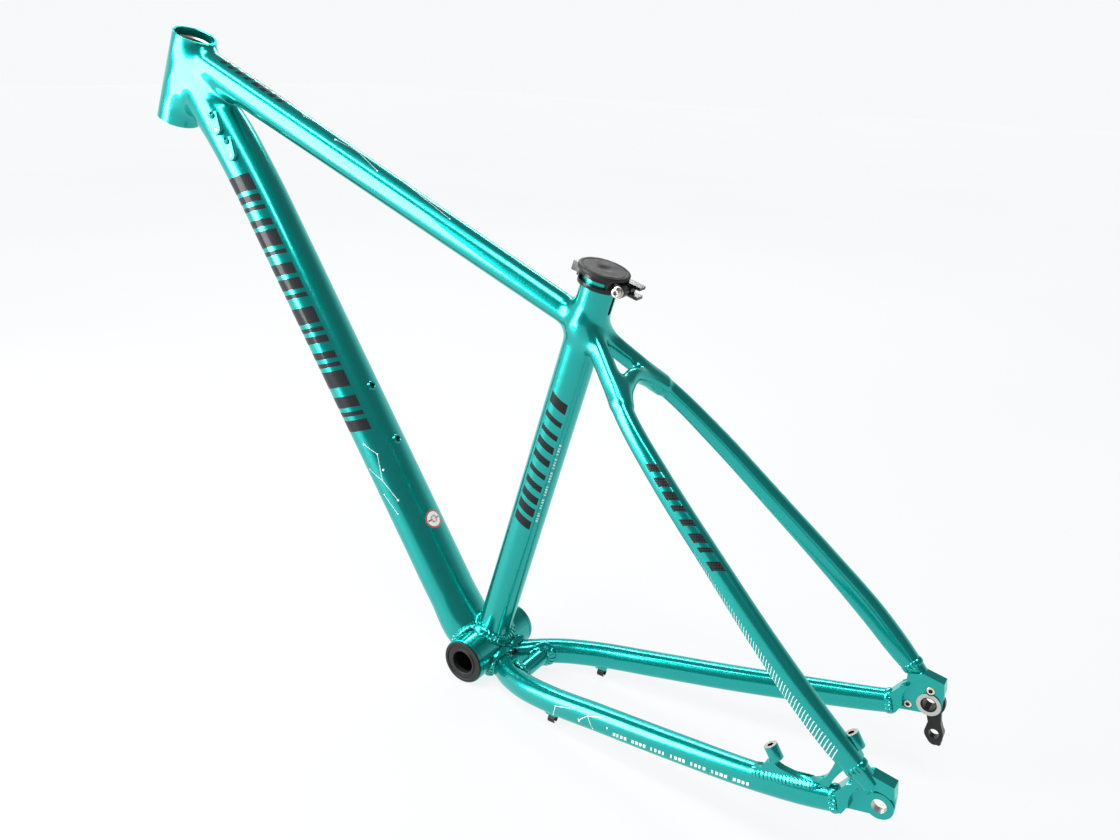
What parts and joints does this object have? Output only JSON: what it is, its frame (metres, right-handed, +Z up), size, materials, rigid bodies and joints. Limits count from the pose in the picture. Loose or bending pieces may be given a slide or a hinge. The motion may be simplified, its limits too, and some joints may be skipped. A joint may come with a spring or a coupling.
{
  "type": "bicycle frame",
  "caption": "Hardtail mountain bicycle frame with tapered tubes, arched seatstays, through-axle dropouts, post brake mount, seat clamp and transport plugs",
  "frame": {"origin": "centre of the bottom bracket shell, on its axis", "axes": "+X forwards to the head tube, +Y to the rider's left, +Z up"},
  "size_m": [0.9263, 0.1866, 0.6463],
  "materials": {
    "frame_paint": "metallic turquoise under gloss clear coat",
    "black_anodised": "satin black anodised",
    "black_plastic": "matte moulded",
    "stainless_steel": "satin stainless"
  },
  "bodies": {
    "frame": {"head_tube": "frame_paint", "top_tube": "frame_paint", "down_tube": "frame_paint", "seat_tube": "frame_paint", "bottom_bracket_shell": "frame_paint", "seatstay_left": "frame_paint", "seatstay_right": "frame_paint", "chainstay_left": "frame_paint", "chainstay_right": "frame_paint", "seatstay_bridge": "frame_paint", "chainstay_bridge": "frame_paint", "dropout_left": "frame_paint", "dropout_right": "frame_paint", "brake_mount": "frame_paint", "bottle_boss_upper": "frame_paint", "bottle_boss_lower": "frame_paint", "cable_port_upper": "frame_paint", "cable_port_lower": "frame_paint", "cable_guide_left": "frame_paint", "cable_guide_right": "frame_paint", "cable_exit_boss": "frame_paint", "derailleur_hanger": "black_anodised", "cable_clip_left": "black_plastic", "cable_clip_right": "black_plastic", "cable_exit_grommet": "black_plastic", "bottle_screw_upper": "black_plastic", "bottle_screw_lower": "black_plastic", "hanger_bolt_upper": "stainless_steel", "hanger_bolt_lower": "stainless_steel", "port_screw_upper": "stainless_steel", "port_screw_lower": "stainless_steel"},
    "clamp": {"seat_clamp": "black_anodised", "clamp_nut": "black_anodised"},
    "washer": {"clamp_washer": "stainless_steel"},
    "bolt": {"clamp_bolt": "stainless_steel"},
    "seat_plug": {"seat_tube_plug": "black_plastic"},
    "left_plug": {"bottom_bracket_plug_left": "black_plastic"},
    "right_plug": {"bottom_bracket_plug_right": "black_plastic"}
  },
  "joints": [
    {"name": "clamp_turn", "type": "hinge", "parent": "frame", "child": "clamp", "pos_m": [-0.11828, 0, 0.41799], "axis": [-0.2723, 0, 0.9622], "continuous": true},
    {"name": "washer_slide", "type": "slide", "parent": "clamp", "child": "washer", "axis": [0, 1, 0], "range_m": [0, 0.0032]},
    {"name": "bolt_turn", "type": "hinge", "parent": "washer", "child": "bolt", "pos_m": [-0.14195, 0, 0.41129], "axis": [0, 1, 0], "range_deg": [0, 1440]},
    {"name": "seat_plug_slide", "type": "slide", "parent": "frame", "child": "seat_plug", "axis": [-0.2723, 0, 0.9622], "range_m": [0, 0.04]},
    {"name": "left_plug_slide", "type": "slide", "parent": "frame", "child": "left_plug", "axis": [0, 1, 0], "range_m": [0, 0.025]},
    {"name": "right_plug_slide", "type": "slide", "parent": "frame", "child": "right_plug", "axis": [0, -1, 0], "range_m": [0, 0.025]}
  ],
  "couplings": [
    {"joint": "bolt_turn", "follows": "washer_slide", "rad_per_m": 7853.9}
  ]
}
